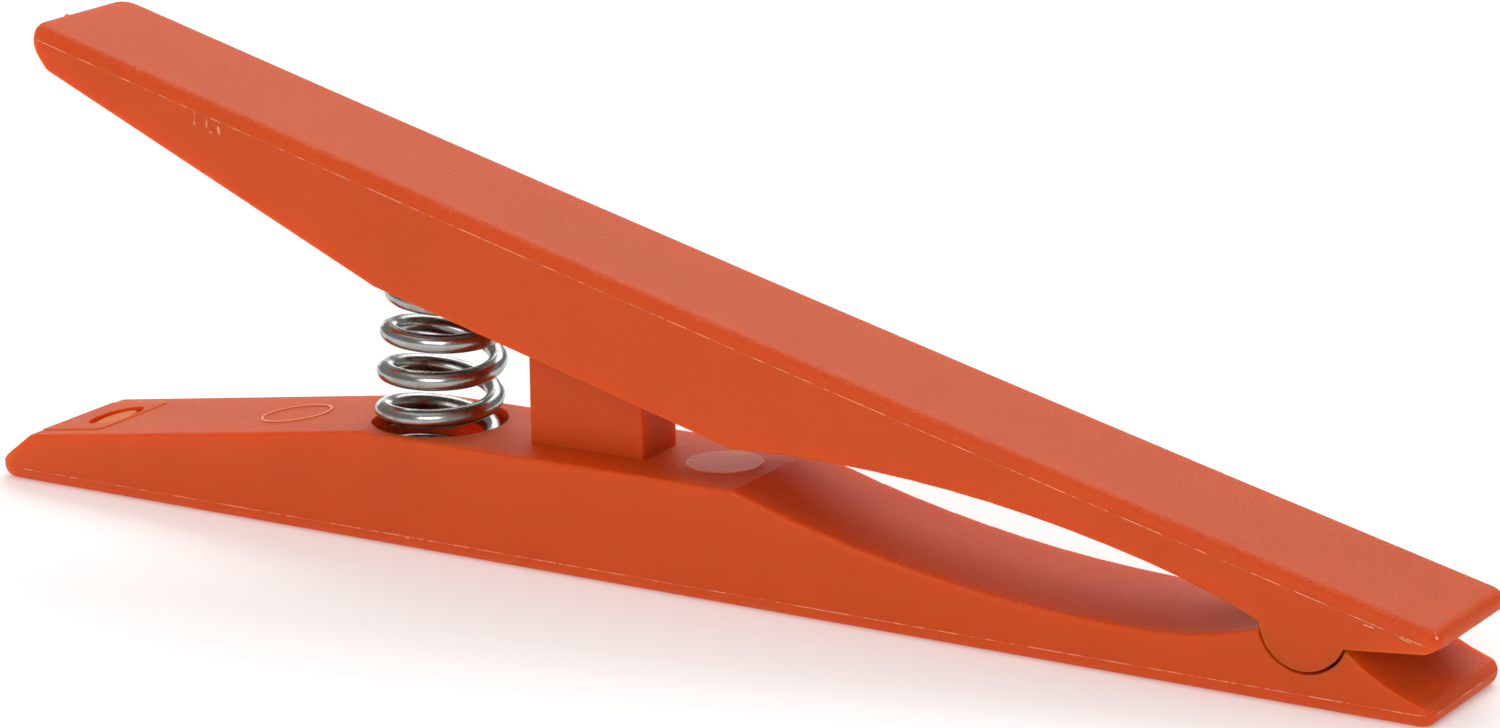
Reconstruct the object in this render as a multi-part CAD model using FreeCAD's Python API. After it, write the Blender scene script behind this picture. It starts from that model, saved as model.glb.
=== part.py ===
import FreeCAD, Part
import math
import os
from collections import namedtuple
from FreeCAD import Vector

# Plastic spring clamp: two long arms, near mirror images of each other, rock on a half-round
# fulcrum close to the jaws. A compression spring spreads the handles, and a hooked post that is
# moulded on the lower arm catches inside the upper arm and sets how far they open.
#
# Frame: millimetres, +Z up. The lower arm lies on its flat outer face at Z = 0, +X runs from the
# handles to the jaws, and the origin is under the fulcrum axis, at the middle of the width.
# Each arm is drawn in an arm frame with its own outer face at Z = 0 and the fulcrum at X = 0.

# --- arms -------------------------------------------------------------------------------------
SIDE_WALL = 1.0              # plastic left beside each spring pocket; it sets the arms' width
OPENING_ANGLE = 14.4         # between the two outer faces at rest
CLOSED_MARGIN = 0.22         # degrees left between the recess edges when the handles are closed
JAW_REACH = 11.9             # fulcrum axis to the jaw tip
JAW_BEVEL = 0.8              # length of the bevel at the jaw tip, along X
LOW_POINT_X = -15.0          # thinnest place of both arms, beside the fulcrum
PARTING_HEIGHT = 1.3         # mould parting line above the outer face
HANDLE_CORNER = 2.2          # plan radius of the handle end's corners
JAW_CORNER = 1.5             # plan radius of the jaw tip's corners
OUTER_FILLET = 1.2           # all round the outer face
INNER_FILLET = 0.4           # along the inner facets

# Side profile of an arm: X places are measured from the fulcrum axis, thicknesses from the
# outer face. The upper arm's outer face is slightly hollow, the lower one is flat to stand on,
# and the lower jaw's gripping face is hollow.
Profile = namedtuple("Profile", "handle_reach handle_bevel handle_thickness bend_x bend_thickness "
                     "recess_x recess_thickness low_thickness tip_thickness hollow jaw_hollow")
LOWER = Profile(handle_reach=140.9, handle_bevel=4.5, handle_thickness=4.9,
                bend_x=-97.2, bend_thickness=10.75,
                recess_x=-56.2, recess_thickness=11.0,
                low_thickness=4.65, tip_thickness=1.95, hollow=0.0, jaw_hollow=0.5)
UPPER = Profile(handle_reach=139.7, handle_bevel=3.4, handle_thickness=4.0,
                bend_x=-96.3, bend_thickness=10.7,
                recess_x=-56.5, recess_thickness=10.95,
                low_thickness=4.6, tip_thickness=1.95, hollow=0.45, jaw_hollow=0.0)

# --- fulcrum ----------------------------------------------------------------------------------
FULCRUM_HEIGHT = 7.4         # axis above the lower arm's outer face
FULCRUM_DEPTH = 4.1          # axis below the upper arm's outer face
BOSS_RADIUS = 4.0
SOCKET_CLEARANCE = 0.3
BOSS_HANDLE_ANGLE = 21.0     # where the boss leaves the recess, above the arm's own level
BOSS_JAW_ANGLE = 7.0         # where the boss leaves the jaw face
SOCKET_HANDLE_ANGLE = 12.0   # lip of the socket, below the level of the axis
SOCKET_LIP_MARGIN = 0.6      # degrees at rest between the socket's jaw lip and the boss's jaw root

# --- spring -----------------------------------------------------------------------------------
SPRING_X = -92.9             # centre of both spring pockets
SPRING_DIAMETER = 12.2       # outside
WIRE_DIAMETER = 1.8
SPRING_TURNS = 8.1           # one closed turn at each end included
SPRING_START_ANGLE = 41.0    # where the wire's lower end lies, from +X round to +Y
SPRING_SIDE_CLEARANCE = 0.4
SPRING_SHIFT_BELOW = -0.3    # the spring stands askew: its ends are off the pockets' centres
SPRING_SHIFT_ABOVE = 0.15
SEAT_GAP = 0.02
SPRING_STEPS = 16            # points of the wire's path per turn
POCKET_FLOOR = 3.2           # plastic left under each spring pocket

# --- tie post and its catch -------------------------------------------------------------------
POST_X = -74.6               # middle of the post
POST_LENGTH = 12.3
POST_WIDTH = 6.0
POST_EDGE = 0.3
POST_CLEARANCE = 0.35        # between the post and the walls of its pocket
HOOK_REACH = 1.7
HOOK_HEIGHT = 1.7
HOOK_CHAMFER = 0.6
LEDGE_THICKNESS = 1.8
CATCH_GAP = 0.05
TRAVEL_STEPS = 4             # the post's pocket is sized at this many steps of the travel

# --- mould marks ------------------------------------------------------------------------------
MARK_HEIGHT = 0.1
MARK_DIAMETER = 7.0          # ejector pin witnesses
RING_X = -109.6
RING_LINE = 0.3
DISC_X = -61.4
PANEL_LENGTH = 7.2           # mould insert at the handle end
PANEL_WIDTH = 11.0
PANEL_CORNER = 0.8
OVAL_PLACE = 4.8             # from the facet's handle edge to the middle of the oval
OVAL_LENGTH = 7.0            # along Y
OVAL_WIDTH = 4.2             # along X
OVAL_DEPTH = 0.4
BEAD_RIM = 0.8               # between the oval's wall and the plain bead in it
BEAD_HEIGHT = 0.3

SOCKET_RADIUS = BOSS_RADIUS + SOCKET_CLEARANCE
POCKET_RADIUS = SPRING_DIAMETER / 2 + SPRING_SIDE_CLEARANCE
SOCKET_JAW_ANGLE = OPENING_ANGLE + BOSS_JAW_ANGLE + SOCKET_LIP_MARGIN
ARM_WIDTH = 2 * (POCKET_RADIUS + SIDE_WALL)
TALL = 60.0                  # longer than any cut has to reach
NEAR = 0.01                  # slack when edges are picked by their place


def point(x, z, y=0.0):
    return Vector(x, y, z)


def polar(centre_z, radius, degrees):
    """Point of a circle about the Y axis line at x = 0, z = centre_z."""
    angle = math.radians(degrees)
    return point(radius * math.cos(angle), centre_z + radius * math.sin(angle))


def line(start, end):
    return Part.LineSegment(start, end).toShape()


def chain(points):
    return [line(a, b) for a, b in zip(points, points[1:])]


def closed(points):
    return chain(points + points[:1])


def prism(edges, width):
    """Solid whose outline lies in the XZ plane, centred on Y = 0."""
    face = Part.Face(Part.Wire(edges))
    face.translate(Vector(0, -width / 2, 0))
    return face.extrude(Vector(0, width, 0))


def column(radius, x, bottom=0.0, height=TALL):
    return Part.makeCylinder(radius, height, point(x, bottom))


def oval_column(length_y, width_x, x):
    """Upright column with an oval section whose long axis lies along Y."""
    oval = Part.Ellipse(point(x, 0, length_y / 2), point(x + width_x / 2, 0), point(x, 0))
    return Part.Face(Part.Wire([oval.toShape()])).extrude(Vector(0, 0, TALL))


def plan_column(left, right, width, left_corner, right_corner):
    """Upright column with a rounded rectangular plan."""
    side = width / 2
    diagonal = math.sqrt(0.5)
    edges = []
    corners = [(right, side, right_corner, 1, 1), (left, side, left_corner, -1, 1),
               (left, -side, left_corner, -1, -1), (right, -side, right_corner, 1, -1)]
    last = None
    for x, y, radius, sign_x, sign_y in corners:
        centre = Vector(x - sign_x * radius, y - sign_y * radius, 0)
        on_end = centre + Vector(sign_x * radius, 0, 0)
        on_side = centre + Vector(0, sign_y * radius, 0)
        middle = centre + Vector(sign_x * diagonal * radius, sign_y * diagonal * radius, 0)
        start, end = (on_end, on_side) if sign_x == sign_y else (on_side, on_end)
        if last is None:
            first = start
        else:
            edges.append(line(last, start))
        edges.append(Part.Arc(start, middle, end).toShape())
        last = end
    edges.append(line(last, first))
    return Part.Face(Part.Wire(edges)).extrude(Vector(0, 0, TALL))


def arc_from_low_point(low, end):
    """Arc that starts level at the arm's thinnest place and rises to end."""
    run = end.x - low.x
    rise = end.z - low.z
    radius = (run * run + rise * rise) / (2 * rise)
    half = math.asin(run / radius) / 2
    middle = point(low.x + radius * math.sin(half), low.z + radius * (1 - math.cos(half)))
    return Part.Arc(low, middle, end).toShape()


def hollow_line(start, end, hollow, side):
    """Line from start to end, or an arc whose middle lies hollow off it, up for side 1, down for -1."""
    if hollow == 0:
        return line(start, end)
    middle = (start + end) / 2 + Vector(0, 0, side * hollow)
    return Part.Arc(start, middle, end).toShape()


def handle_edge(profile):
    """Where the handle's end bevel meets the inner facet."""
    return profile.handle_bevel - profile.handle_reach


def arm_blank(profile, fulcrum_edges):
    """Arm in its own frame, with the given edges between the recess and the jaw face."""
    handle_end = point(-profile.handle_reach, 0)
    jaw_end = point(JAW_REACH, 0)
    low = point(LOW_POINT_X, profile.low_thickness)
    recess_edge = point(profile.recess_x, profile.recess_thickness)
    handle = [handle_end, point(-profile.handle_reach, PARTING_HEIGHT),
              point(handle_edge(profile), profile.handle_thickness),
              point(profile.bend_x, profile.bend_thickness), recess_edge]
    lip = fulcrum_edges[-1].Vertexes[-1].Point
    tip = point(JAW_REACH - JAW_BEVEL, profile.tip_thickness)
    edges = chain(handle)
    edges.append(arc_from_low_point(low, recess_edge))
    edges.append(arc_from_low_point(low, fulcrum_edges[0].Vertexes[0].Point))
    edges += fulcrum_edges + [hollow_line(lip, tip, profile.jaw_hollow, -1)]
    edges += chain([tip, point(JAW_REACH, PARTING_HEIGHT), jaw_end])
    edges.append(hollow_line(jaw_end, handle_end, profile.hollow, 1))
    blank = prism(Part.__sortEdges__(edges), ARM_WIDTH)
    plan = plan_column(-profile.handle_reach, JAW_REACH, ARM_WIDTH, HANDLE_CORNER, JAW_CORNER)
    blank = blank.common(plan).removeSplitter()
    rim = [e for e in blank.Edges if e.BoundBox.ZMax < profile.hollow + NEAR]
    blank = blank.makeFillet(OUTER_FILLET, rim)
    return blank.makeFillet(INNER_FILLET, inner_long_edges(blank, profile))


def inner_long_edges(blank, profile):
    """Edges between the side faces and the inner facets, from the handle bevel to the recess."""
    found = []
    for edge in blank.Edges:
        box = edge.BoundBox
        on_side = box.YLength < NEAR and abs(abs(box.YMin) - ARM_WIDTH / 2) < NEAR
        inner = box.ZMin > PARTING_HEIGHT + profile.hollow and box.XMin > handle_edge(profile) - NEAR
        if on_side and inner and box.XMax < LOW_POINT_X + NEAR:
            found.append(edge)
    return found


def fulcrum_arc(centre_z, radius, start, middle, end):
    return Part.Arc(*[polar(centre_z, radius, a) for a in (start, middle, end)]).toShape()


def facet_thickness(profile, x):
    """Thickness of an arm at x, on the rising handle facet or on the flat facet."""
    if x < profile.bend_x:
        rise = profile.bend_thickness - profile.handle_thickness
        slope = rise / (profile.bend_x - handle_edge(profile))
    else:
        rise = profile.recess_thickness - profile.bend_thickness
        slope = rise / (profile.recess_x - profile.bend_x)
    return profile.bend_thickness + (x - profile.bend_x) * slope


def facet_layer(profile, low_offset, high_offset):
    """Layer that follows the inner facets, from low_offset to high_offset above them."""
    stops = [handle_edge(profile), profile.bend_x, profile.recess_x]
    lower = [point(x, facet_thickness(profile, x) + low_offset) for x in stops]
    upper = [point(x, facet_thickness(profile, x) + high_offset) for x in reversed(stops)]
    return prism(closed(lower + upper), ARM_WIDTH)


def ejector_marks(profile):
    """Fine raised ring on the handle facet and raised disc on the flat facet."""
    skin = facet_layer(profile, -MARK_HEIGHT, MARK_HEIGHT)
    radius = MARK_DIAMETER / 2
    ring = column(radius, RING_X).cut(column(radius - RING_LINE, RING_X))
    return [ring.common(skin), column(radius, DISC_X).common(skin)]


def insert_panel():
    """Slightly raised panel of a mould insert at the lower arm's handle end."""
    skin = facet_layer(LOWER, -MARK_HEIGHT, MARK_HEIGHT)
    start = handle_edge(LOWER) - PANEL_LENGTH
    end = handle_edge(LOWER) + PANEL_LENGTH
    return plan_column(start, end, PANEL_WIDTH, PANEL_CORNER, PANEL_CORNER).common(skin)


def oval_recess():
    """Plain oval recess in the insert panel, with a plain oval bead left standing in it."""
    place = handle_edge(LOWER) + OVAL_PLACE
    pit = oval_column(OVAL_LENGTH, OVAL_WIDTH, place)
    pit = pit.common(facet_layer(LOWER, -OVAL_DEPTH, MARK_HEIGHT))
    bead = oval_column(OVAL_LENGTH - 2 * BEAD_RIM, OVAL_WIDTH - 2 * BEAD_RIM, place)
    return pit.cut(bead.common(facet_layer(LOWER, -OVAL_DEPTH, BEAD_HEIGHT - OVAL_DEPTH)))


def in_upper_frame(x, z, angle):
    """Arm-frame place, in the upper arm at the given opening angle, of a point of the lower arm."""
    turn = math.radians(angle)
    height = z - FULCRUM_HEIGHT
    along = x * math.cos(turn) - height * math.sin(turn)
    return along, FULCRUM_DEPTH - x * math.sin(turn) - height * math.cos(turn)


def height_over_lower(x, thickness):
    """Height at x, at rest, of the line at that thickness of the upper arm."""
    turn = math.radians(OPENING_ANGLE)
    return FULCRUM_HEIGHT + (FULCRUM_DEPTH - thickness - x * math.sin(turn)) / math.cos(turn)


def catch_thickness():
    """Thickness coordinate, in the upper arm's frame, of the ledge that the hook catches on."""
    return facet_thickness(UPPER, POST_X - POST_LENGTH / 2) - LEDGE_THICKNESS


def squeeze_angle():
    """Travel of the upper arm from rest to handles closed, where the recess edges all but meet."""
    below = math.atan2(LOWER.recess_thickness - FULCRUM_HEIGHT, -LOWER.recess_x)
    above = math.atan2(UPPER.recess_thickness - FULCRUM_DEPTH, -UPPER.recess_x)
    return OPENING_ANGLE - math.degrees(below + above) - CLOSED_MARGIN


def post_outline():
    """Post with its hook. The hook and the top lie parallel to the upper arm at rest."""
    left = POST_X - POST_LENGTH / 2
    right = POST_X + POST_LENGTH / 2
    hook = left - HOOK_REACH
    under = catch_thickness() - CATCH_GAP
    top = under - HOOK_HEIGHT
    lead = hook + HOOK_CHAMFER
    return [point(right, FULCRUM_HEIGHT), point(right, height_over_lower(right, top)),
            point(lead, height_over_lower(lead, top)),
            point(hook, height_over_lower(hook, top) - HOOK_CHAMFER),
            point(hook, height_over_lower(hook, under)), point(left, height_over_lower(left, under)),
            point(left, FULCRUM_HEIGHT)]


def tie_post():
    post = prism(closed(post_outline()), POST_WIDTH)
    boxes = [(edge, edge.BoundBox) for edge in post.Edges]
    upright = [edge for edge, box in boxes if box.XLength < NEAR and box.YLength < NEAR
               and box.ZMin < FULCRUM_HEIGHT + NEAR]
    return post.makeFillet(POST_EDGE, upright)


def upright_in_upper_frame(x, thickness, angle):
    """Where the line that stands at x on the lower arm crosses that thickness of the upper arm."""
    turn = math.radians(angle)
    return x / math.cos(turn) + (thickness - FULCRUM_DEPTH) * math.tan(turn)


def post_pocket():
    """Blind pocket of the upper arm that clears the post from rest to handles closed."""
    ledge = catch_thickness()
    sides = (POST_X - POST_LENGTH / 2, POST_X + POST_LENGTH / 2)
    closing = squeeze_angle() / TRAVEL_STEPS
    angles = [OPENING_ANGLE - closing * step for step in range(TRAVEL_STEPS + 1)]
    shank = [upright_in_upper_frame(x, thickness, angle) for x in sides
             for thickness in (UPPER.recess_thickness, ledge) for angle in angles]
    head = [in_upper_frame(p.x, p.z, angle) for p in post_outline()[1:-1] for angle in angles]
    head_x = [x for x, _ in head]
    right = max(shank + head_x) + POST_CLEARANCE
    ceiling = min(thickness for _, thickness in head) - POST_CLEARANCE
    width = POST_WIDTH + 2 * POST_CLEARANCE
    mouth = upright_slot(min(shank) - POST_CLEARANCE, right, ceiling, TALL, width)
    return mouth.fuse(upright_slot(min(head_x) - POST_CLEARANCE, right, ceiling, ledge, width))


def upright_slot(left, right, bottom, top, width):
    return prism(closed([point(left, bottom), point(right, bottom), point(right, top),
                         point(left, top)]), width)


def lower_arm():
    lips = (180 + SOCKET_HANDLE_ANGLE, 270, 360 - SOCKET_JAW_ANGLE)
    socket = fulcrum_arc(FULCRUM_HEIGHT, SOCKET_RADIUS, *lips)
    arm = arm_blank(LOWER, [socket])
    arm = arm.cut(column(POCKET_RADIUS, SPRING_X, POCKET_FLOOR))
    arm = arm.fuse([tie_post(), insert_panel()] + ejector_marks(LOWER))
    return arm.cut(oval_recess()).removeSplitter()


def upper_arm():
    lips = (180 - BOSS_HANDLE_ANGLE, 90, BOSS_JAW_ANGLE)
    boss = fulcrum_arc(FULCRUM_DEPTH, BOSS_RADIUS, *lips)
    arm = arm_blank(UPPER, [boss])
    arm = arm.cut(column(POCKET_RADIUS, SPRING_X, POCKET_FLOOR))
    arm = arm.cut(post_pocket())
    arm = arm.fuse(ejector_marks(UPPER)).removeSplitter()
    return to_rest(arm)


def to_rest(shape):
    """Turns a shape from the upper arm's frame to its place over the lower arm at rest."""
    placed = shape.mirror(Vector(0, 0, 0), Vector(0, 0, 1))
    placed.translate(Vector(0, 0, FULCRUM_HEIGHT + FULCRUM_DEPTH))
    placed.rotate(point(0, FULCRUM_HEIGHT), Vector(0, 1, 0), OPENING_ANGLE)
    return placed


def rest_place(x, thickness):
    """Place at rest of a point of the upper arm."""
    turn = math.radians(OPENING_ANGLE)
    rise = FULCRUM_DEPTH - thickness
    return point(x * math.cos(turn) + rise * math.sin(turn),
                 FULCRUM_HEIGHT - x * math.sin(turn) + rise * math.cos(turn))


def spring_path():
    """Right-hand helix between the two pocket floors, on a bent axis square to both of them."""
    seat = POCKET_FLOOR + SEAT_GAP + WIRE_DIAMETER / 2
    bottom = point(SPRING_X + SPRING_SHIFT_BELOW, seat)
    top = rest_place(SPRING_X + SPRING_SHIFT_ABOVE, seat)
    turn = math.radians(OPENING_ANGLE)
    reach = (top - bottom).Length
    start_pull = Vector(0, 0, reach)
    end_pull = Vector(math.sin(turn), 0, math.cos(turn)) * reach
    radius = (SPRING_DIAMETER - WIRE_DIAMETER) / 2
    pitch = (reach - 2 * WIRE_DIAMETER) / (SPRING_TURNS - 2)
    places = []
    steps = round(SPRING_TURNS * SPRING_STEPS)
    for step in range(steps + 1):
        turns = SPRING_TURNS * step / steps
        climb = min(turns, 1) + min(max(turns - SPRING_TURNS + 1, 0), 1)
        share = (climb * WIRE_DIAMETER + (turns - climb) * pitch) / reach
        axis, tilt = axis_at(share, bottom, top, start_pull, end_pull)
        angle = math.radians(360 * turns + SPRING_START_ANGLE)
        across = Vector(math.cos(tilt), 0, -math.sin(tilt)) * (radius * math.cos(angle))
        places.append(axis + across + Vector(0, radius * math.sin(angle), 0))
    return places


def axis_at(share, bottom, top, start_pull, end_pull):
    """Place and tilt of the spring's bent axis, from 0 at its bottom to 1 at its top."""
    s = share
    place = (bottom * (2 * s ** 3 - 3 * s ** 2 + 1) + start_pull * (s ** 3 - 2 * s ** 2 + s)
             + top * (3 * s ** 2 - 2 * s ** 3) + end_pull * (s ** 3 - s ** 2))
    along = (bottom * (6 * s ** 2 - 6 * s) + start_pull * (3 * s ** 2 - 4 * s + 1)
             + top * (6 * s - 6 * s ** 2) + end_pull * (3 * s ** 2 - 2 * s))
    return place, math.atan2(along.x, along.z)


def spring():
    curve = Part.BSplineCurve()
    curve.interpolate(spring_path())
    path = Part.Wire([curve.toShape()])
    start = curve.value(curve.FirstParameter)
    heading = curve.tangent(curve.FirstParameter)[0]
    section = Part.Wire([Part.makeCircle(WIRE_DIAMETER / 2, start, heading)])
    return path.makePipeShell([section], True, True)


def main():
    os.makedirs("parts", exist_ok=True)
    shapes = {"lower_arm": lower_arm(), "upper_arm": upper_arm(), "spring": spring()}
    for name, shape in shapes.items():
        shape.exportStep("parts/" + name + ".step")
        print(name, shape.ShapeType, len(shape.Solids), shape.isValid(), round(shape.Volume, 1))
    print("travel in degrees:", round(squeeze_angle(), 2))


main()
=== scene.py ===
import math

import bmesh
import bpy
from mathutils import Matrix, Vector


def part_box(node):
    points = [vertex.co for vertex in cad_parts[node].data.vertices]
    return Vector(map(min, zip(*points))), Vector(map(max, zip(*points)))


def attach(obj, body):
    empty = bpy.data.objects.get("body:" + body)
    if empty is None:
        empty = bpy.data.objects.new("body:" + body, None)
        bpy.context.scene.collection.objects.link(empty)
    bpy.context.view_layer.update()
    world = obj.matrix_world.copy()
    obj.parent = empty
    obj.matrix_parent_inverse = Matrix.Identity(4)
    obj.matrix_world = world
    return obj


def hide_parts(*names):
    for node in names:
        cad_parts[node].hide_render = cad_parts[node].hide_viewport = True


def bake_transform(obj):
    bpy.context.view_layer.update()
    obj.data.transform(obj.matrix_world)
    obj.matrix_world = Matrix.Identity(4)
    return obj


bl_info = {
    "name": "Spring clamp",
    "version": (1, 0, 0),
    "blender": (4, 5, 0),
    "location": "3D View > Sidebar > Clamp",
    "description": "Finishes a moulded plastic spring clamp: arms, wire spring, mould marks, stage",
    "category": "Object",
}

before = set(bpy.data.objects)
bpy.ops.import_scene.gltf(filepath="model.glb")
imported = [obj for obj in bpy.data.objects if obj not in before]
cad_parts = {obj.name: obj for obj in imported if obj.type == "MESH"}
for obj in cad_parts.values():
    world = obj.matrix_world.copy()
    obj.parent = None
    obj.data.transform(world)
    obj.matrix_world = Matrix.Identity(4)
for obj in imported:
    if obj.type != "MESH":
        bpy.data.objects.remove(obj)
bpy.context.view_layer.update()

MM = 0.001

# Places that follow the clamp's own drawing, in millimetres.
FULCRUM_HEIGHT = 7.4         # fulcrum axis above the lower arm's outer face
FULCRUM_DEPTH = 4.1          # fulcrum axis below the upper arm's outer face
OPENING = math.radians(14.4)
SPRING_X = -92.9
SEAT = 4.12                  # wire centre above each arm's outer face, where the coil rests
SHIFT_BELOW = -0.3
SHIFT_ABOVE = 0.15
JAW_REACH = 11.9
PARTING_HEIGHT = 1.3
HANDLE_CORNER = 2.2
JAW_CORNER = 1.5
RING_X = -109.6
DISC_X = -61.4
MARK_RADIUS = 3.5
RING_LINE = 0.3
INNER_SIDE = 5.0             # the pins' prints are on faces above this height
BEAD_X = -131.6
BEAD_SIZE = (2.6, 5.4)       # the plain oval bead in the handle's recess, along and across
UPPER_REACH = 139.7
UPPER_HOLLOW = 0.45          # how far the upper arm's outer face is hollow at its middle

# How finely the wire is drawn, and what the mesh work takes for merged, flat or sharp.
STEPS_PER_TURN = 56
WIRE_SIDES = 20
MERGE = 1e-7                 # metres
FLAT = math.radians(0.1)
CREASE = math.radians(3)
BEVEL_ANGLE = math.radians(32)
SHORTEST_BEVEL = 0.3         # millimetres

# The stage. Each soft light has its name, place and size in metres, and its power in watts.
SOFTBOXES = (
    ("overhead softbox", (-0.15, 0.15, 1.0), (2.0, 1.6), 5.6),
    ("high back softbox", (-0.4, 0.95, 0.95), (1.2, 0.8), 7.8),
    ("low back softbox", (-1.0, 1.3, 0.09), (1.2, 0.16), 1.7),
    ("front softbox", (0.2, -1.2, 0.6), (0.9, 0.6), 7.2),
)
LIGHTS_AIM = (-0.06, 0.0, 0.02)
ROOM_LIGHT = 0.3
TABLE_GLOW = 0.2             # light that comes up through the paper
FLOOR_GAP = 0.02             # millimetres between the lower arm and the floor
CAMERA_PLACE = (0.17392, -0.37999, 0.14273)
CAMERA_TURN = (74.671, 0.626, 31.297)
SENSOR_WIDTH = 36.0

# Knocks and scuffs, each in its arm's own frame: the place, half sizes and turn of one chip.
UPPER_KNOCKS = (
    ((-118.9, 7.48, 2.2), (0.13, 0.08, 0.78), (0.0, 8.0, 0.0)),
    ((-117.5, 7.48, 2.1), (0.14, 0.08, 0.62), (0.0, 12.0, 0.0)),
    ((-116.0, 7.48, 2.4), (0.18, 0.08, 0.46), (0.0, 25.0, 0.0)),
    ((-116.8, 7.48, 2.9), (0.26, 0.08, 0.16), (0.0, -10.0, 0.0)),
    ((11.3, 6.72, 0.55), (0.20, 0.16, 0.26), (20.0, 0.0, 40.0)),
    ((5.6, 7.50, 1.66), (0.55, 0.05, 0.07), (0.0, 4.0, 0.0)),
    ((8.9, 7.50, 1.50), (0.80, 0.05, 0.05), (0.0, -3.0, 0.0)),
    ((-95.3, -1.2, 0.30), (0.13, 0.08, 0.04), (0.0, 0.0, 20.0)),
    ((-77.9, -0.4, 0.37), (0.10, 0.10, 0.04), (0.0, 0.0, 0.0)),
    ((-139.3, 1.8, 0.42), (0.30, 0.30, 0.30), (0.0, 0.0, 0.0)),
)
LOWER_KNOCKS = (
    ((-91.8, -7.49, 1.22), (0.38, 0.05, 0.06), (0.0, 18.0, 0.0)),
    ((-91.6, -7.49, 1.28), (0.28, 0.05, 0.06), (0.0, -35.0, 0.0)),
    ((-89.2, -7.49, 1.28), (0.12, 0.05, 0.07), (0.0, 0.0, 0.0)),
    ((-86.4, -7.49, 1.28), (0.16, 0.05, 0.06), (0.0, 0.0, 0.0)),
    ((-74.7, -7.49, 1.28), (0.14, 0.05, 0.07), (0.0, 0.0, 0.0)),
)


# --- sizes and colours a user would change -----------------------------------------------------

def length(name, description, default):
    """A size in millimetres, shown to the user as a length."""
    return bpy.props.FloatProperty(
        name=name, description=description, default=default * MM, subtype="DISTANCE",
        unit="LENGTH", min=0.0, precision=5)


def tint(name, description, default):
    """An sRGB colour written as a hex value."""
    return bpy.props.StringProperty(name=name, description=description, default=default)


class ClampArms(bpy.types.PropertyGroup):
    plastic: tint("Plastic", "Colour of the moulded arms", "#D04F05")
    plastic_dark: tint("Plastic, dull", "Where the pigment has flowed thicker", "#CC4C05")
    # The whitened colour is also mixed a tenth into the round pin print as a painted sheen.
    whitened: tint("Whitened plastic", "Bruised edges and the parting line", "#F0A27C")
    # The bead colour is a painted highlight on the top of the oval bead.
    bead: tint("Bead", "Oval bead in the handle's recess", "#E8762A")
    soften: length("Edge softness", "Bevel on the arms' sharp moulded edges", 0.1)
    texture: length("Texture grain", "Spark-eroded grain of the mould's faces", 0.42)


class ClampSpring(bpy.types.PropertyGroup):
    coil: length("Coil diameter", "Outside diameter of the spring", 12.2)
    wire: length("Wire diameter", "Diameter of the plated wire", 1.8)
    turns: bpy.props.FloatProperty(
        name="Turns", description="Turns of wire, one closed turn at each end included",
        default=8.1, min=2.5)
    start: bpy.props.FloatProperty(
        name="Start angle", description="Where the lower end of the wire lies",
        default=math.radians(41.0), subtype="ANGLE", unit="ROTATION")
    plating: tint("Plating", "Colour of the bright zinc", "#B4B8B8")
    worn_plating: tint("Worn plating", "Where coils rubbed in the barrel", "#98948A")


class ClampMarks(bpy.types.PropertyGroup):
    flash: length("Flash width", "Width of the ridge left at the parting line", 0.1)
    proud: length("Flash height", "How far the ridge stands off the side", 0.03)


class ClampStage(bpy.types.PropertyGroup):
    floor: tint("Floor", "Colour of the paper sweep", "#FCFCFB")
    floor_size: bpy.props.FloatProperty(
        name="Floor size", description="Side of the square floor", default=6.0,
        subtype="DISTANCE", unit="LENGTH")
    lens: bpy.props.FloatProperty(
        name="Lens", description="Focal length of the camera", default=122.9,
        subtype="DISTANCE_CAMERA", unit="CAMERA")


# --- small tools -------------------------------------------------------------------------------

def linear(hexed):
    """Linear colour of an sRGB hex value."""
    parts = [int(hexed[i:i + 2], 16) / 255 for i in (1, 3, 5)]
    curved = [c / 12.92 if c <= 0.04045 else ((c + 0.055) / 1.055) ** 2.4 for c in parts]
    return (*curved, 1.0)


def node(tree, kind, feeds=None, **settings):
    """Add a node with its settings; feeds gives each input a value or another node's output."""
    made = tree.nodes.new(kind)
    for name, value in settings.items():
        setattr(made, name, value)
    for socket, feed in (feeds or {}).items():
        if isinstance(feed, bpy.types.NodeSocket):
            tree.links.new(feed, made.inputs[socket])
        else:
            made.inputs[socket].default_value = feed
    return made.outputs


def placed(x, y, z):
    """A point given in millimetres."""
    return Vector((x, y, z)) * MM


def upper_place():
    """Turns a shape drawn in an arm's own frame into the upper arm's place at rest."""
    return (Matrix.Translation(placed(0, 0, FULCRUM_HEIGHT)) @ Matrix.Rotation(OPENING, 4, "Y")
            @ Matrix.Translation(placed(0, 0, FULCRUM_DEPTH)) @ Matrix.Rotation(math.pi, 4, "X"))


def empty_piece(name):
    """A new object with an empty mesh of the same name."""
    piece = bpy.data.objects.new(name, bpy.data.meshes.new(name))
    bpy.context.scene.collection.objects.link(piece)
    return piece


def new_tree(name, inputs):
    """A geometry node tree with named inputs; returns it and its input sockets."""
    tree = bpy.data.node_groups.new(name, "GeometryNodeTree")
    for label, kind in inputs:
        tree.interface.new_socket(label, in_out="INPUT", socket_type="NodeSocket" + kind)
    tree.interface.new_socket("Geometry", in_out="OUTPUT", socket_type="NodeSocketGeometry")
    return tree, node(tree, "NodeGroupInput")


def close_tree(tree, geometry, material):
    """Realize Instances and Set Material, which every tree here ends in."""
    real = node(tree, "GeometryNodeRealizeInstances", {"Geometry": geometry})
    done = node(tree, "GeometryNodeSetMaterial", {"Geometry": real[0], "Material": material})
    node(tree, "NodeGroupOutput", {"Geometry": done[0]})


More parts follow.
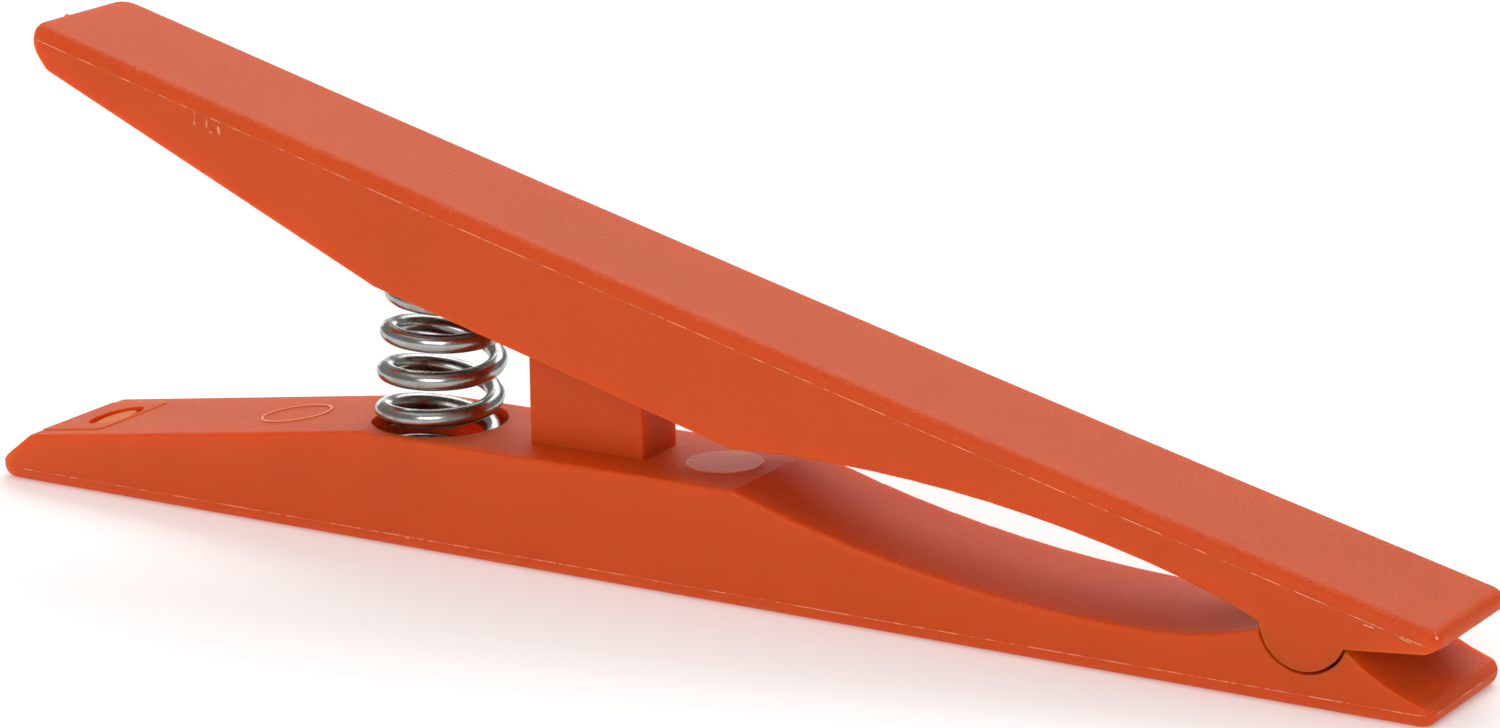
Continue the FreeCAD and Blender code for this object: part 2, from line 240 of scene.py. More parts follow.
def grown(piece, tree, values):
    """Run the tree on the piece with these input values and keep the result as a plain mesh."""
    modifier = piece.modifiers.new(tree.name, "NODES")
    modifier.node_group = tree
    for item in tree.interface.items_tree:
        if item.in_out == "INPUT" and item.name in values:
            modifier[item.identifier] = values[item.name]
    depsgraph = bpy.context.evaluated_depsgraph_get()
    mesh = bpy.data.meshes.new_from_object(
        piece.evaluated_get(depsgraph), preserve_all_data_layers=True, depsgraph=depsgraph)
    piece.modifiers.remove(modifier)
    piece.data = mesh
    mesh.name = piece.name
    return piece


def outward(mesh):
    """Merge doubles and point every face outwards."""
    shape = bmesh.new()
    shape.from_mesh(mesh)
    bmesh.ops.remove_doubles(shape, verts=shape.verts, dist=MERGE)
    bmesh.ops.recalc_face_normals(shape, faces=shape.faces)
    shape.to_mesh(mesh)
    shape.free()


# --- materials ---------------------------------------------------------------------------------

def new_material(name):
    """An empty material; returns it and its node tree."""
    material = bpy.data.materials.new(name)
    material.use_nodes = True
    tree = material.node_tree
    tree.nodes.clear()
    return material, tree


def finish_material(tree, shader):
    node(tree, "ShaderNodeOutputMaterial", {"Surface": shader})


def moulded_plastic(name, sizes, arm_frame, has_bead_highlight):
    """Injection moulded polypropylene from a spark-eroded mould, in the arm's own frame.

    It gives the eye a saturated orange that glows a little at thin edges, a fine even grain
    with a soft pale sheen at low angles, smoother sides, slight clouds in the pigment and the
    polished prints of the ejector pins, the round one painted a little paler as a painted sheen.
    """
    material, tree = new_material(name)
    here = node(tree, "ShaderNodeTexCoord")
    mapped = node(tree, "ShaderNodeMapping", {
        "Vector": here["Object"], "Location": arm_frame.translation,
        "Rotation": arm_frame.to_euler()})
    place = mapped[0]
    facing = node(tree, "ShaderNodeSeparateXYZ", {0: here["Normal"]})
    side = node(tree, "ShaderNodeMath", {0: facing["Y"]}, operation="ABSOLUTE")
    sideways = node(tree, "ShaderNodeMapRange", {"Value": side[0], "From Min": 0.75,
                                                 "From Max": 0.98})
    # Pigment clouds 9 mm across.
    clouds = node(tree, "ShaderNodeTexNoise", {"Vector": place, "Scale": 1 / (9 * MM),
                                               "Detail": 3.0, "Roughness": 0.5})
    cloudy = node(tree, "ShaderNodeMapRange", {"Value": clouds[0], "From Min": 0.35,
                                               "From Max": 0.65})
    pigment = node(tree, "ShaderNodeMix", {"Factor": cloudy[0], 6: linear(sizes.plastic),
                                           7: linear(sizes.plastic_dark)}, data_type="RGBA")
    # The real grain is near 0.1 mm; it is drawn coarser so that it shows.
    grain = node(tree, "ShaderNodeTexNoise", {"Vector": place, "Scale": 1 / sizes.texture,
                                              "Detail": 2.0, "Roughness": 0.6})
    # Sink in the thick arms makes their faces roll every 14 mm or so.
    waves = node(tree, "ShaderNodeTexNoise", {"Vector": place, "Scale": 1 / (14 * MM),
                                              "Detail": 1.0})
    disc, ring = pin_prints(tree, place)
    polished = node(tree, "ShaderNodeMath", {0: disc, 1: ring}, operation="MAXIMUM")
    flecks = node(tree, "ShaderNodeMapRange", {"Value": grain[0], "From Min": 0.6,
                                               "From Max": 0.78, "To Max": 0.22})
    textured = node(tree, "ShaderNodeMath", {0: 1.0, 1: sideways[0]}, operation="SUBTRACT")
    flecked = node(tree, "ShaderNodeMath", {0: flecks[0], 1: textured[0]},
                   operation="MULTIPLY")
    # The round print is painted a tenth paler as a painted sheen, added to the real whitened grain
    # flecks.
    flecks_and_disc_sheen = node(tree, "ShaderNodeMath", {0: disc, 1: 0.10, 2: flecked[0]},
                  operation="MULTIPLY_ADD")
    pale = node(tree, "ShaderNodeMath", {0: ring, 1: 0.75, 2: flecks_and_disc_sheen[0]},
                operation="MULTIPLY_ADD", use_clamp=True)
    marked = node(tree, "ShaderNodeMix", {"Factor": pale[0], 6: pigment[2],
                                          7: linear(sizes.whitened)}, data_type="RGBA")
    colour = marked
    # Painted highlight: the oval bead's top is painted lighter and yellower than the plastic round
    # it.
    if has_bead_highlight:
        colour = node(tree, "ShaderNodeMix", {"Factor": bead_highlight_mask(tree, place), 6: marked[2],
                                              7: linear(sizes.bead)}, data_type="RGBA")
    rough = node(tree, "ShaderNodeMapRange", {"Value": sideways[0], "To Min": 0.52,
                                              "To Max": 0.42})
    roughness = node(tree, "ShaderNodeMath", {0: grain[0], 1: 0.12, 2: rough[0]},
                     operation="MULTIPLY_ADD")
    smoothed = node(tree, "ShaderNodeMath", {0: polished[0], 1: -0.18, 2: roughness[0]},
                    operation="MULTIPLY_ADD")
    depth = node(tree, "ShaderNodeMapRange", {"Value": sideways[0], "To Min": 1.0,
                                              "To Max": 0.15})
    relief = node(tree, "ShaderNodeBump", {"Strength": depth[0], "Distance": 0.12 * MM,
                                           "Height": grain[0]})
    rolling = node(tree, "ShaderNodeBump", {"Strength": 1.0, "Distance": 0.05 * MM,
                                            "Height": waves[0], "Normal": relief[0]})
    shader = node(tree, "ShaderNodeBsdfPrincipled", {
        "Base Color": colour[2], "Roughness": smoothed[0], "IOR": 1.49,
        "Specular IOR Level": 0.3, "Subsurface Weight": 1.0,
        "Subsurface Radius": (1.0, 0.25, 0.05), "Subsurface Scale": 3.6 * MM,
        "Normal": rolling[0]})
    finish_material(tree, shader[0])
    return material


def bead_highlight_mask(tree, place):
    """Mask of the oval bead's top, painted brighter than the plastic round it as a painted
    highlight.
    """
    along, across = BEAD_SIZE
    centred = node(tree, "ShaderNodeMapping", {
        "Vector": place, "Location": (-2 * BEAD_X / along, 0.0, 0.0),
        "Scale": (2 / (along * MM), 2 / (across * MM), 0.0)})
    reach = node(tree, "ShaderNodeVectorMath", {0: centred[0]}, operation="LENGTH")
    within = node(tree, "ShaderNodeMapRange", {"Value": reach["Value"], "From Min": 1.05,
                                               "From Max": 0.85, "To Max": 0.7})
    return within[0]


def pin_prints(tree, place):
    """Masks of the round print and of the thin lines that the ejector pins leave inside."""
    parts = node(tree, "ShaderNodeSeparateXYZ", {0: place})
    inside = node(tree, "ShaderNodeMath", {0: parts["Z"], 1: INNER_SIDE * MM},
                  operation="GREATER_THAN")
    flat = node(tree, "ShaderNodeVectorMath", {0: place, 1: (1.0, 1.0, 0.0)},
                operation="MULTIPLY")
    from_disc = node(tree, "ShaderNodeVectorMath", {0: flat[0], 1: placed(DISC_X, 0, 0)},
                     operation="DISTANCE")
    from_ring = node(tree, "ShaderNodeVectorMath", {0: flat[0], 1: placed(RING_X, 0, 0)},
                     operation="DISTANCE")
    within = node(tree, "ShaderNodeMath", {0: from_disc["Value"], 1: MARK_RADIUS * MM},
                  operation="LESS_THAN")
    disc = node(tree, "ShaderNodeMath", {0: within[0], 1: inside[0]}, operation="MULTIPLY")
    middle = (MARK_RADIUS - RING_LINE / 2) * MM
    on_ring = node(tree, "ShaderNodeMath", {0: from_ring["Value"], 1: middle,
                                            2: 0.38 * RING_LINE * MM}, operation="COMPARE")
    on_rim = node(tree, "ShaderNodeMath", {0: from_disc["Value"], 1: MARK_RADIUS * MM,
                                           2: 0.12 * MM}, operation="COMPARE")
    rim = node(tree, "ShaderNodeMath", {0: on_rim[0], 1: 0.45}, operation="MULTIPLY")
    lines = node(tree, "ShaderNodeMath", {0: on_ring[0], 1: rim[0]}, operation="MAXIMUM")
    ring = node(tree, "ShaderNodeMath", {0: lines[0], 1: inside[0]}, operation="MULTIPLY")
    return disc[0], ring[0]


def whitened_plastic(name, sizes, spread):
    """The arms' polypropylene where it is torn or bruised: paler, dull and broken up."""
    material, tree = new_material(name)
    here = node(tree, "ShaderNodeTexCoord")
    # The line breaks up every 1.4 mm or so, over a grain of 0.2 mm.
    breaks = node(tree, "ShaderNodeTexNoise", {"Vector": here["Object"], "Scale": 1 / (1.4 * MM),
                                               "Detail": 3.0, "Roughness": 0.6})
    share = node(tree, "ShaderNodeMapRange", {"Value": breaks[0], "From Min": 0.62 - spread,
                                              "From Max": 0.74 - spread, "To Min": 0.15})
    colour = node(tree, "ShaderNodeMix", {"Factor": share[0], 6: linear(sizes.plastic),
                                          7: linear(sizes.whitened)}, data_type="RGBA")
    grain = node(tree, "ShaderNodeTexNoise", {"Vector": here["Object"],
                                              "Scale": 1 / (0.2 * MM)})
    relief = node(tree, "ShaderNodeBump", {"Strength": 0.6, "Distance": 0.01 * MM,
                                           "Height": grain[0]})
    shader = node(tree, "ShaderNodeBsdfPrincipled", {
        "Base Color": colour[2], "Roughness": 0.6, "IOR": 1.49, "Specular IOR Level": 0.35,
        "Normal": relief[0]})
    finish_material(tree, shader[0])
    return material


def plated_wire(name, sizes):
    """Drawn spring steel wire, barrel plated with bright zinc.

    It gives the eye a cold mirror with fine die lines along the wire, small dull patches where
    coils rubbed in the barrel, and a faint change of tone in the passivation.
    """
    material, tree = new_material(name)
    here = node(tree, "ShaderNodeTexCoord")
    round_wire = node(tree, "ShaderNodeAttribute", attribute_name="round_wire")
    along_wire = node(tree, "ShaderNodeAttribute", attribute_name="along_wire")
    lines_at = node(tree, "ShaderNodeCombineXYZ", {"X": along_wire["Fac"],
                                                   "Y": round_wire["Fac"]})
    # Die lines: 40 round the wire, each some 6 mm long.
    stretched = node(tree, "ShaderNodeMapping", {"Vector": lines_at[0],
                                                 "Scale": (1 / (6 * MM), 40.0, 1.0)})
    lines = node(tree, "ShaderNodeTexNoise", {"Vector": stretched[0], "Scale": 1.0,
                                              "Detail": 2.0})
    # Rubbed patches are 2.2 mm across.
    patches = node(tree, "ShaderNodeTexNoise", {"Vector": here["Object"],
                                                "Scale": 1 / (2.2 * MM), "Detail": 4.0,
                                                "Roughness": 0.65})
    dull = node(tree, "ShaderNodeMapRange", {"Value": patches[0], "From Min": 0.5,
                                             "From Max": 0.72, "To Min": 0.2, "To Max": 0.42})
    tone = node(tree, "ShaderNodeMapRange", {"Value": patches[0], "From Min": 0.3,
                                             "From Max": 0.7})
    colour = node(tree, "ShaderNodeMix", {"Factor": tone[0], 6: linear(sizes.plating),
                                          7: linear(sizes.worn_plating)}, data_type="RGBA")
    relief = node(tree, "ShaderNodeBump", {"Strength": 0.5, "Distance": 0.006 * MM,
                                           "Height": lines[0]})
    shader = node(tree, "ShaderNodeBsdfPrincipled", {
        "Base Color": colour[2], "Metallic": 1.0, "Roughness": dull[0], "Normal": relief[0]})
    finish_material(tree, shader[0])
    return material


def paper_sweep(name, hexed):
    """Matt white paper on a light table: pale, even, without shine, and lit from below too."""
    material, tree = new_material(name)
    here = node(tree, "ShaderNodeTexCoord")
    # Fibres are near 1 mm long.
    fibres = node(tree, "ShaderNodeTexNoise", {"Vector": here["Object"], "Scale": 1 / (1 * MM),
                                               "Detail": 2.0})
    tone = node(tree, "ShaderNodeMapRange", {"Value": fibres[0], "To Min": 0.98, "To Max": 1.0})
    colour = node(tree, "ShaderNodeMix", {"Factor": 1.0, 6: linear(hexed), 7: tone[0]},
                  data_type="RGBA", blend_type="MULTIPLY")
    shader = node(tree, "ShaderNodeBsdfPrincipled", {"Base Color": colour[2],
                                                     "Roughness": 0.9,
                                                     "Specular IOR Level": 0.1,
                                                     "Emission Color": linear(hexed),
                                                     "Emission Strength": TABLE_GLOW})
    finish_material(tree, shader[0])
    return material


# --- arms --------------------------------------------------------------------------------------

def crease_copy(source, name):
    """Merged copy of a moulded arm whose smooth faces and sharp edges are those of its drawing."""
    drawn = source.data
    normals = [Vector(n.vector) for n in drawn.corner_normals]
    shape = bmesh.new()
    shape.from_mesh(drawn)
    shape.faces.ensure_lookup_table()
    memory = shape.loops.layers.float_vector.new("drawn_normal")
    for face, polygon in zip(shape.faces, drawn.polygons):
        for loop, corner in zip(face.loops, polygon.loop_indices):
            loop[memory] = normals[corner]
    bmesh.ops.remove_doubles(shape, verts=shape.verts, dist=MERGE)
    for edge in shape.edges:
        edge.smooth = not is_crease(edge, memory)
    for face in shape.faces:
        face.smooth = True
    shape.loops.layers.float_vector.remove(memory)
    bmesh.ops.dissolve_limit(shape, angle_limit=FLAT, verts=shape.verts, edges=shape.edges,
                             delimit={"SHARP"})
    piece = empty_piece(name)
    shape.to_mesh(piece.data)
    shape.free()
    return piece


def is_crease(edge, memory):
    """True where the drawing's faces meet at more than a few degrees."""
    if len(edge.link_faces) != 2:
        return True
    first, second = edge.link_faces
    for vert in edge.verts:
        ways = [next(loop[memory] for loop in face.loops if loop.vert == vert)
                for face in (first, second)]
        if ways[0].angle(ways[1], 0.0) > CREASE:
            return True
    return False


def soften(piece, width):
    """Small bevel on the sharp edges."""
    shape = bmesh.new()
    shape.from_mesh(piece.data)
    sharp = [edge for edge in shape.edges
             if not edge.smooth and edge.calc_face_angle(0.0) > BEVEL_ANGLE
             and edge.calc_length() > SHORTEST_BEVEL * MM]
    bmesh.ops.bevel(shape, geom=sharp, offset=width, offset_type="OFFSET", segments=2,
                    profile=0.5, affect="EDGES", clamp_overlap=True, loop_slide=True)
    shape.to_mesh(piece.data)
    shape.free()


def finish_arm(node_name, piece_name, body, material, sizes):
    """Softened copy of one arm in its plastic, which stands for the plain one."""
    piece = crease_copy(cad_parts[node_name], piece_name)
    soften(piece, sizes.soften)
    piece.data.materials.append(material)
    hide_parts(node_name)
    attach(piece, body)


class CLAMP_OT_arms(bpy.types.Operator):
    """Make the two moulded arms with softened edges and their plastic"""
    bl_idname = "clamp.arms"
    bl_label = "Arms"

    def execute(self, context):
        sizes = context.scene.clamp_arms
        for node_name, body, arm_frame, has_bead_highlight in (
                ("lower_arm", "lower", Matrix.Identity(4), True),
                ("upper_arm", "upper", upper_place().inverted(), False)):
            material = moulded_plastic(f"moulded polypropylene, {body}", sizes, arm_frame,
                                       has_bead_highlight)
            finish_arm(node_name, f"{body}_moulding", body, material, sizes)
        return {"FINISHED"}


# --- spring ------------------------------------------------------------------------------------

def coil_tree(material):
    """Closed-end compression spring: wire swept along a right-hand helix on a bent axis."""
    tree, given = new_tree("Coil spring", [
        ("Bottom", "Vector"), ("Bottom pull", "Vector"), ("Top pull", "Vector"),
        ("Top", "Vector"), ("Coil radius", "Float"), ("Wire radius", "Float"),
        ("Turns", "Float"), ("Pitch", "Float"), ("Reach", "Float"), ("Start", "Float"),
        ("Steps", "Int"), ("Sides", "Int")])
    count = node(tree, "ShaderNodeMath", {0: given["Steps"], 1: 1.0}, operation="ADD")
    points = node(tree, "GeometryNodeMeshLine", {"Count": count[0]})
    index = node(tree, "GeometryNodeInputIndex")
    step = node(tree, "ShaderNodeMath", {0: index[0], 1: given["Steps"]}, operation="DIVIDE")
    turn = node(tree, "ShaderNodeMath", {0: step[0], 1: given["Turns"]}, operation="MULTIPLY")
    low = node(tree, "ShaderNodeMath", {0: turn[0], 1: 1.0}, operation="MINIMUM")
    open_turns = node(tree, "ShaderNodeMath", {0: given["Turns"], 1: 1.0}, operation="SUBTRACT")
    high = node(tree, "ShaderNodeMath", {0: turn[0], 1: open_turns[0]}, operation="SUBTRACT",
                use_clamp=True)
    closed = node(tree, "ShaderNodeMath", {0: low[0], 1: high[0]}, operation="ADD")
    opened = node(tree, "ShaderNodeMath", {0: turn[0], 1: closed[0]}, operation="SUBTRACT")
    wire = node(tree, "ShaderNodeMath", {0: given["Wire radius"], 1: 2.0}, operation="MULTIPLY")
    closed_rise = node(tree, "ShaderNodeMath", {0: closed[0], 1: wire[0]}, operation="MULTIPLY")
    rise = node(tree, "ShaderNodeMath", {0: opened[0], 1: given["Pitch"], 2: closed_rise[0]},
                operation="MULTIPLY_ADD")
    share = node(tree, "ShaderNodeMath", {0: rise[0], 1: given["Reach"]}, operation="DIVIDE")
    legs = [given["Bottom"], given["Bottom pull"], given["Top pull"], given["Top"]]
    while len(legs) > 2:
        legs = [node(tree, "ShaderNodeMix", {"Factor": share[0], 4: a, 5: b},
                     data_type="VECTOR")[1] for a, b in zip(legs, legs[1:])]
    axis = node(tree, "ShaderNodeMix", {"Factor": share[0], 4: legs[0], 5: legs[1]},
                data_type="VECTOR")
    along = node(tree, "ShaderNodeVectorMath", {0: legs[1], 1: legs[0]}, operation="SUBTRACT")
    straight = node(tree, "ShaderNodeVectorMath", {0: along[0]}, operation="NORMALIZE")
    across = node(tree, "ShaderNodeVectorMath", {0: (0.0, 1.0, 0.0), 1: straight[0]},
                  operation="CROSS_PRODUCT")
    angle = node(tree, "ShaderNodeMath", {0: turn[0], 1: 2 * math.pi, 2: given["Start"]},
                 operation="MULTIPLY_ADD")
    cosine = node(tree, "ShaderNodeMath", {0: angle[0]}, operation="COSINE")
    sine = node(tree, "ShaderNodeMath", {0: angle[0]}, operation="SINE")
    swing = node(tree, "ShaderNodeMath", {0: cosine[0], 1: given["Coil radius"]},
                 operation="MULTIPLY")
    sway = node(tree, "ShaderNodeMath", {0: sine[0], 1: given["Coil radius"]},
                operation="MULTIPLY")
    out = node(tree, "ShaderNodeVectorMath", {0: across[0], "Scale": swing[0]},
               operation="SCALE")
    aside = node(tree, "ShaderNodeCombineXYZ", {"Y": sway[0]})
    ring = node(tree, "ShaderNodeVectorMath", {0: out[0], 1: aside[0]}, operation="ADD")
    place = node(tree, "ShaderNodeVectorMath", {0: axis[1], 1: ring[0]}, operation="ADD")
    bent = node(tree, "GeometryNodeSetPosition", {"Geometry": points[0], "Position": place[0]})
    path = node(tree, "GeometryNodeMeshToCurve", {"Mesh": bent[0]})
    spline = node(tree, "GeometryNodeSplineParameter")
    marked = node(tree, "GeometryNodeStoreNamedAttribute", {
        "Geometry": path[0], "Name": "along_wire", "Value": spline["Length"]})
    section = node(tree, "GeometryNodeCurvePrimitiveCircle", {
        "Resolution": given["Sides"], "Radius": given["Wire radius"]})
    section_share = node(tree, "GeometryNodeStoreNamedAttribute", {
        "Geometry": section[0], "Name": "round_wire", "Value": spline["Factor"]})
    swept = node(tree, "GeometryNodeCurveToMesh", {
        "Curve": marked[0], "Profile Curve": section_share[0], "Fill Caps": True})
    smooth = node(tree, "GeometryNodeSetShadeSmooth", {"Geometry": swept[0]})
    close_tree(tree, smooth[0], material)
    return tree


class CLAMP_OT_spring(bpy.types.Operator):
    """Wind the plated compression spring between the two arms"""
    bl_idname = "clamp.spring"
    bl_label = "Spring"

    def execute(self, context):
        sizes = context.scene.clamp_spring
        material = plated_wire("bright zinc plated wire", sizes)
        bottom = placed(SPRING_X + SHIFT_BELOW, 0, SEAT)
        top = upper_place() @ placed(SPRING_X + SHIFT_ABOVE, 0, SEAT)
        reach = (top - bottom).length
        lean = Vector((math.sin(OPENING), 0, math.cos(OPENING)))
        values = {
            "Bottom": bottom, "Bottom pull": bottom + Vector((0, 0, reach / 3)),
            "Top pull": top - lean * reach / 3, "Top": top,
            "Coil radius": (sizes.coil - sizes.wire) / 2, "Wire radius": sizes.wire / 2,
            "Turns": sizes.turns, "Pitch": (reach - 2 * sizes.wire) / (sizes.turns - 2),
            "Reach": reach, "Start": sizes.start, "Steps": round(sizes.turns * STEPS_PER_TURN),
            "Sides": WIRE_SIDES}
        piece = grown(empty_piece("plated_spring"), coil_tree(material), values)
        outward(piece.data)
        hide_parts("spring")
        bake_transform(piece)
        return {"FINISHED"}


# --- mould marks -------------------------------------------------------------------------------

def flash_tree(material):
    """Thin broken ridge swept round an arm at the mould's parting line."""
    tree, given = new_tree("Parting line", [
        ("Length", "Float"), ("Width", "Float"), ("Middle", "Float"), ("Height", "Float"),
        ("Hollow", "Float"), ("Handle corner", "Float"), ("Jaw corner", "Float"),
        ("Ridge", "Float"), ("Proud", "Float"), ("Seed", "Float")])
    sunk = node(tree, "ShaderNodeMath", {0: given["Ridge"], 1: 0.5}, operation="MULTIPLY")
    offset = node(tree, "ShaderNodeMath", {0: given["Proud"], 1: sunk[0]}, operation="SUBTRACT")
    wide = node(tree, "ShaderNodeMath", {0: offset[0], 1: 2.0, 2: given["Width"]},
                operation="MULTIPLY_ADD")
    long = node(tree, "ShaderNodeMath", {0: offset[0], 1: 2.0, 2: given["Length"]},
                operation="MULTIPLY_ADD")
    plan = node(tree, "GeometryNodeCurvePrimitiveQuadrilateral", {"Width": long[0],
                                                                  "Height": wide[0]})
    position = node(tree, "GeometryNodeInputPosition")
    parts = node(tree, "ShaderNodeSeparateXYZ", {0: position[0]})
    jawwards = node(tree, "FunctionNodeCompare", {0: parts["X"], 1: 0.0},
                    data_type="FLOAT", operation="GREATER_THAN")
    corner = node(tree, "GeometryNodeSwitch", {"Switch": jawwards[0],
                                               "False": given["Handle corner"],
                                               "True": given["Jaw corner"]},
                  input_type="FLOAT")
    rounded = node(tree, "GeometryNodeFilletCurve", {"Curve": plan[0], "Count": 6,
                                                     "Radius": corner[0]}, mode="POLY")
    even = node(tree, "GeometryNodeResampleCurve", {"Curve": rounded[0],
                                                    "Length": 0.45 * MM}, mode="LENGTH")
    half = node(tree, "ShaderNodeMath", {0: given["Length"], 1: 0.5}, operation="MULTIPLY")
    reach = node(tree, "ShaderNodeMath", {0: parts["X"], 1: half[0]}, operation="DIVIDE")
    square = node(tree, "ShaderNodeMath", {0: reach[0], 1: reach[0]}, operation="MULTIPLY")
    less = node(tree, "ShaderNodeMath", {0: 1.0, 1: square[0]}, operation="SUBTRACT")
    bow = node(tree, "ShaderNodeMath", {0: less[0], 1: given["Hollow"], 2: given["Height"]},
               operation="MULTIPLY_ADD")
    shift = node(tree, "ShaderNodeCombineXYZ", {"X": given["Middle"], "Z": bow[0]})
    lifted = node(tree, "GeometryNodeSetPosition", {"Geometry": even[0], "Offset": shift[0]})
    chance = node(tree, "ShaderNodeTexNoise", {"W": given["Seed"], "Scale": 1 / (2.2 * MM),
                                               "Detail": 3.0, "Roughness": 0.7},
                  noise_dimensions="4D")
    size = node(tree, "ShaderNodeMapRange", {"Value": chance[0], "From Min": 0.40,
                                             "From Max": 0.66, "To Min": 0.15, "To Max": 1.0})
    varied = node(tree, "GeometryNodeSetCurveRadius", {"Curve": lifted[0], "Radius": size[0]})
    section = node(tree, "GeometryNodeCurvePrimitiveCircle", {"Resolution": 8,
                                                              "Radius": sunk[0]})
    swept = node(tree, "GeometryNodeCurveToMesh", {
        "Curve": varied[0], "Profile Curve": section[0], "Fill Caps": True})
    smooth = node(tree, "GeometryNodeSetShadeSmooth", {"Geometry": swept[0]})
    close_tree(tree, smooth[0], material)
    return tree


class CLAMP_OT_parting_lines(bpy.types.Operator):
    """Lay the thin ridge of flash round both arms at the mould's parting line"""
    bl_idname = "clamp.parting_lines"
    bl_label = "Parting lines"

    def execute(self, context):
        marks = context.scene.clamp_marks
        arms = context.scene.clamp_arms
        material = whitened_plastic("whitened polypropylene", arms, 0.15)
        tree = flash_tree(material)
        low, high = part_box("lower_arm")
        width = high.y - low.y
        for name, body, reach, hollow, place, seed in (
                ("lower_flash", "lower", -low.x, 0.0, Matrix.Identity(4), 1.0),
                ("upper_flash", "upper", UPPER_REACH * MM, UPPER_HOLLOW * MM, upper_place(), 2.0)):
            jaw = JAW_REACH * MM
            values = {"Length": reach + jaw, "Width": width, "Middle": (jaw - reach) / 2,
                      "Height": PARTING_HEIGHT * MM, "Hollow": hollow,
                      "Handle corner": HANDLE_CORNER * MM, "Jaw corner": JAW_CORNER * MM,
                      "Ridge": marks.flash, "Proud": marks.proud, "Seed": seed}
            piece = grown(empty_piece(name), tree, values)
            piece.data.transform(place)
            outward(piece.data)
            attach(piece, body)
        return {"FINISHED"}


def knock_tree(material):
    """A small lens of bruised plastic on every point, with the point's own size and turn."""
    tree, given = new_tree("Knocks", [("Places", "Geometry"), ("Detail", "Int")])
    lens = node(tree, "GeometryNodeMeshIcoSphere", {"Radius": 1.0,
                                                    "Subdivisions": given["Detail"]})
    size = node(tree, "GeometryNodeInputNamedAttribute", {"Name": "size"},
                data_type="FLOAT_VECTOR")
    turn = node(tree, "GeometryNodeInputNamedAttribute", {"Name": "turn"},
                data_type="FLOAT_VECTOR")
    chips = node(tree, "GeometryNodeInstanceOnPoints", {
        "Points": given["Places"], "Instance": lens[0], "Rotation": turn[0],
        "Scale": size[0]})
    close_tree(tree, chips[0], material)
    return tree


def knock_places(name, knocks):
    """The knocks as loose points that carry their half sizes and turns."""
    piece = empty_piece(name)
    piece.data.from_pydata([placed(*place) for place, _, _ in knocks], [], [])
    for label, values in (("size", [placed(*size) for _, size, _ in knocks]),
                          ("turn", [[math.radians(a) for a in turn] for _, _, turn in knocks])):
        kept = piece.data.attributes.new(label, "FLOAT_VECTOR", "POINT")
        kept.data.foreach_set("vector", [part for value in values for part in value])
    return piece


class CLAMP_OT_knocks(bpy.types.Operator):
    """Leave the scuffs, nicks and gate stub that the real arms carry"""
    bl_idname = "clamp.knocks"
    bl_label = "Knocks and scuffs"

    def execute(self, context):
        material = whitened_plastic("bruised polypropylene", context.scene.clamp_arms, 0.24)
        tree = knock_tree(material)
        for name, body, knocks, place in (
                ("lower_knocks", "lower", LOWER_KNOCKS, Matrix.Identity(4)),
                ("upper_knocks", "upper", UPPER_KNOCKS, upper_place())):
            piece = grown(knock_places(name, knocks), tree, {"Detail": 2})
            piece.data.transform(place)
            outward(piece.data)
            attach(piece, body)
        return {"FINISHED"}


# --- stage -------------------------------------------------------------------------------------

def soft_light(name, place, size, power):
    """A rectangular softbox that points at the clamp."""
    light = bpy.data.lights.new(name, "AREA")
    light.shape = "RECTANGLE"
    light.size, light.size_y = size
    light.energy = power
    lamp = bpy.data.objects.new(name, light)
    lamp.location = place
    lamp.rotation_euler = (Vector(LIGHTS_AIM) - Vector(place)).to_track_quat("-Z", "Y").to_euler()
    bpy.context.scene.collection.objects.link(lamp)


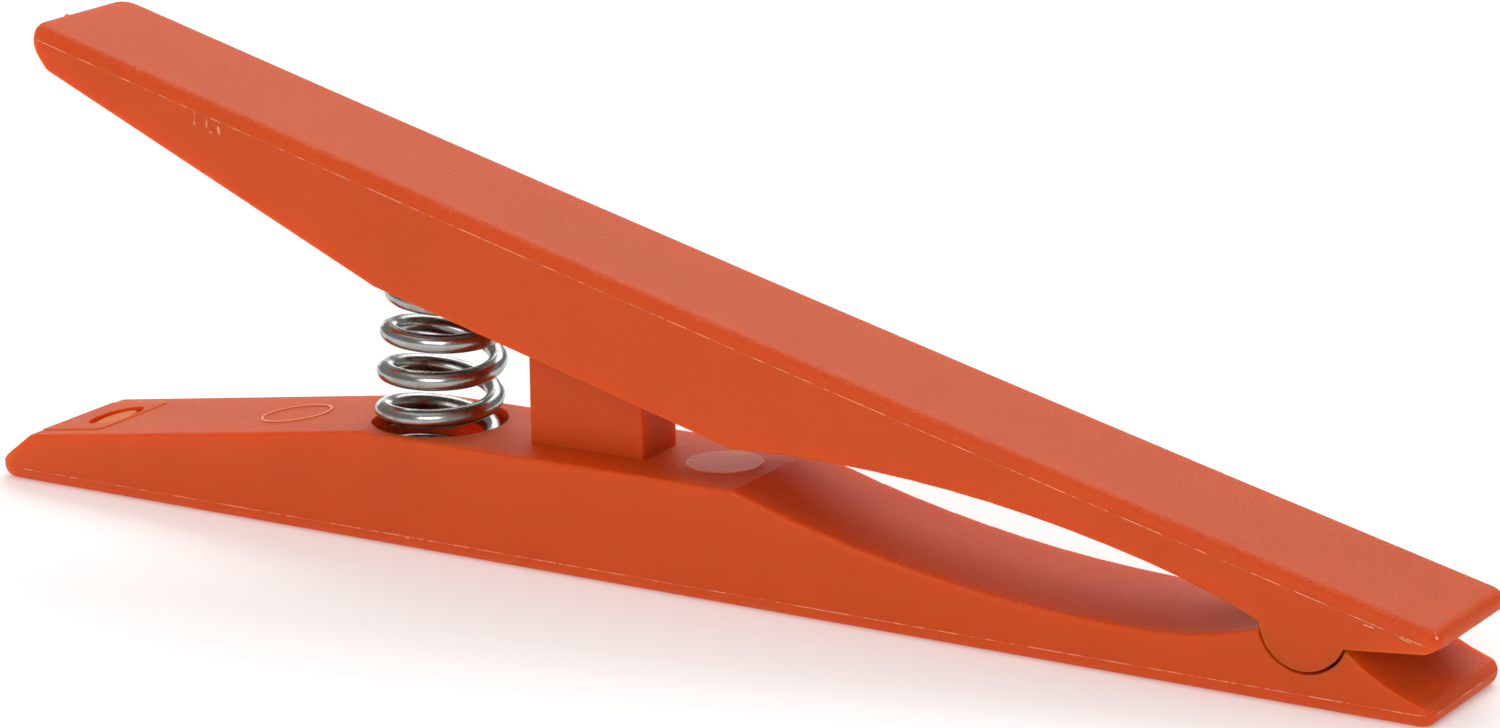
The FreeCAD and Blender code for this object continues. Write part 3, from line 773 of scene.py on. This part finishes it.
class CLAMP_OT_stage(bpy.types.Operator):
    """Lay the pale floor, hang the soft lights and set up the camera"""
    bl_idname = "clamp.stage"
    bl_label = "Stage"

    def execute(self, context):
        sizes = context.scene.clamp_stage
        scene = context.scene
        scene.view_settings.view_transform = "Standard"
        floor = empty_piece("paper_floor")
        half = sizes.floor_size / 2
        floor.data.from_pydata(
            [(-half, -half, 0), (half, -half, 0), (half, half, 0), (-half, half, 0)], [],
            [(0, 1, 2, 3)])
        floor.location.z = -FLOOR_GAP * MM
        floor.data.materials.append(paper_sweep("matt background paper", sizes.floor))
        world = bpy.data.worlds.new("soft room")
        world.use_nodes = True
        room = world.node_tree.nodes["Background"]
        room.inputs["Color"].default_value = (1.0, 1.0, 1.0, 1.0)
        room.inputs["Strength"].default_value = ROOM_LIGHT
        scene.world = world
        for softbox in SOFTBOXES:
            soft_light(*softbox)
        lens = bpy.data.cameras.new("camera")
        lens.lens = sizes.lens
        lens.sensor_width = SENSOR_WIDTH
        lens.clip_start = 0.01
        camera = bpy.data.objects.new("camera", lens)
        camera.location = CAMERA_PLACE
        camera.rotation_euler = [math.radians(a) for a in CAMERA_TURN]
        scene.collection.objects.link(camera)
        scene.camera = camera
        return {"FINISHED"}


# --- panel and run -----------------------------------------------------------------------------

OPERATORS = (CLAMP_OT_arms, CLAMP_OT_spring, CLAMP_OT_parting_lines, CLAMP_OT_knocks,
             CLAMP_OT_stage)
GROUPS = {"clamp_arms": ClampArms, "clamp_spring": ClampSpring, "clamp_marks": ClampMarks,
          "clamp_stage": ClampStage}


class CLAMP_PT_sidebar(bpy.types.Panel):
    """Lists the clamp's operators and sizes"""
    bl_idname = "CLAMP_PT_sidebar"
    bl_label = "Spring clamp"
    bl_space_type = "VIEW_3D"
    bl_region_type = "UI"
    bl_category = "Clamp"

    def draw(self, context):
        for operator in OPERATORS:
            self.layout.operator(operator.bl_idname)
        for name, group in GROUPS.items():
            box = self.layout.box()
            for prop in group.__annotations__:
                box.prop(getattr(context.scene, name), prop)


CLASSES = (*GROUPS.values(), *OPERATORS, CLAMP_PT_sidebar)


def register():
    for cls in CLASSES:
        bpy.utils.register_class(cls)
    for name, group in GROUPS.items():
        setattr(bpy.types.Scene, name, bpy.props.PointerProperty(type=group))


def unregister():
    for name in GROUPS:
        delattr(bpy.types.Scene, name)
    for cls in reversed(CLASSES):
        bpy.utils.unregister_class(cls)


def main():
    register()
    bpy.ops.clamp.arms()
    bpy.ops.clamp.spring()
    bpy.ops.clamp.parting_lines()
    bpy.ops.clamp.knocks()
    bpy.ops.clamp.stage()


if __name__ == "__main__":
    main()
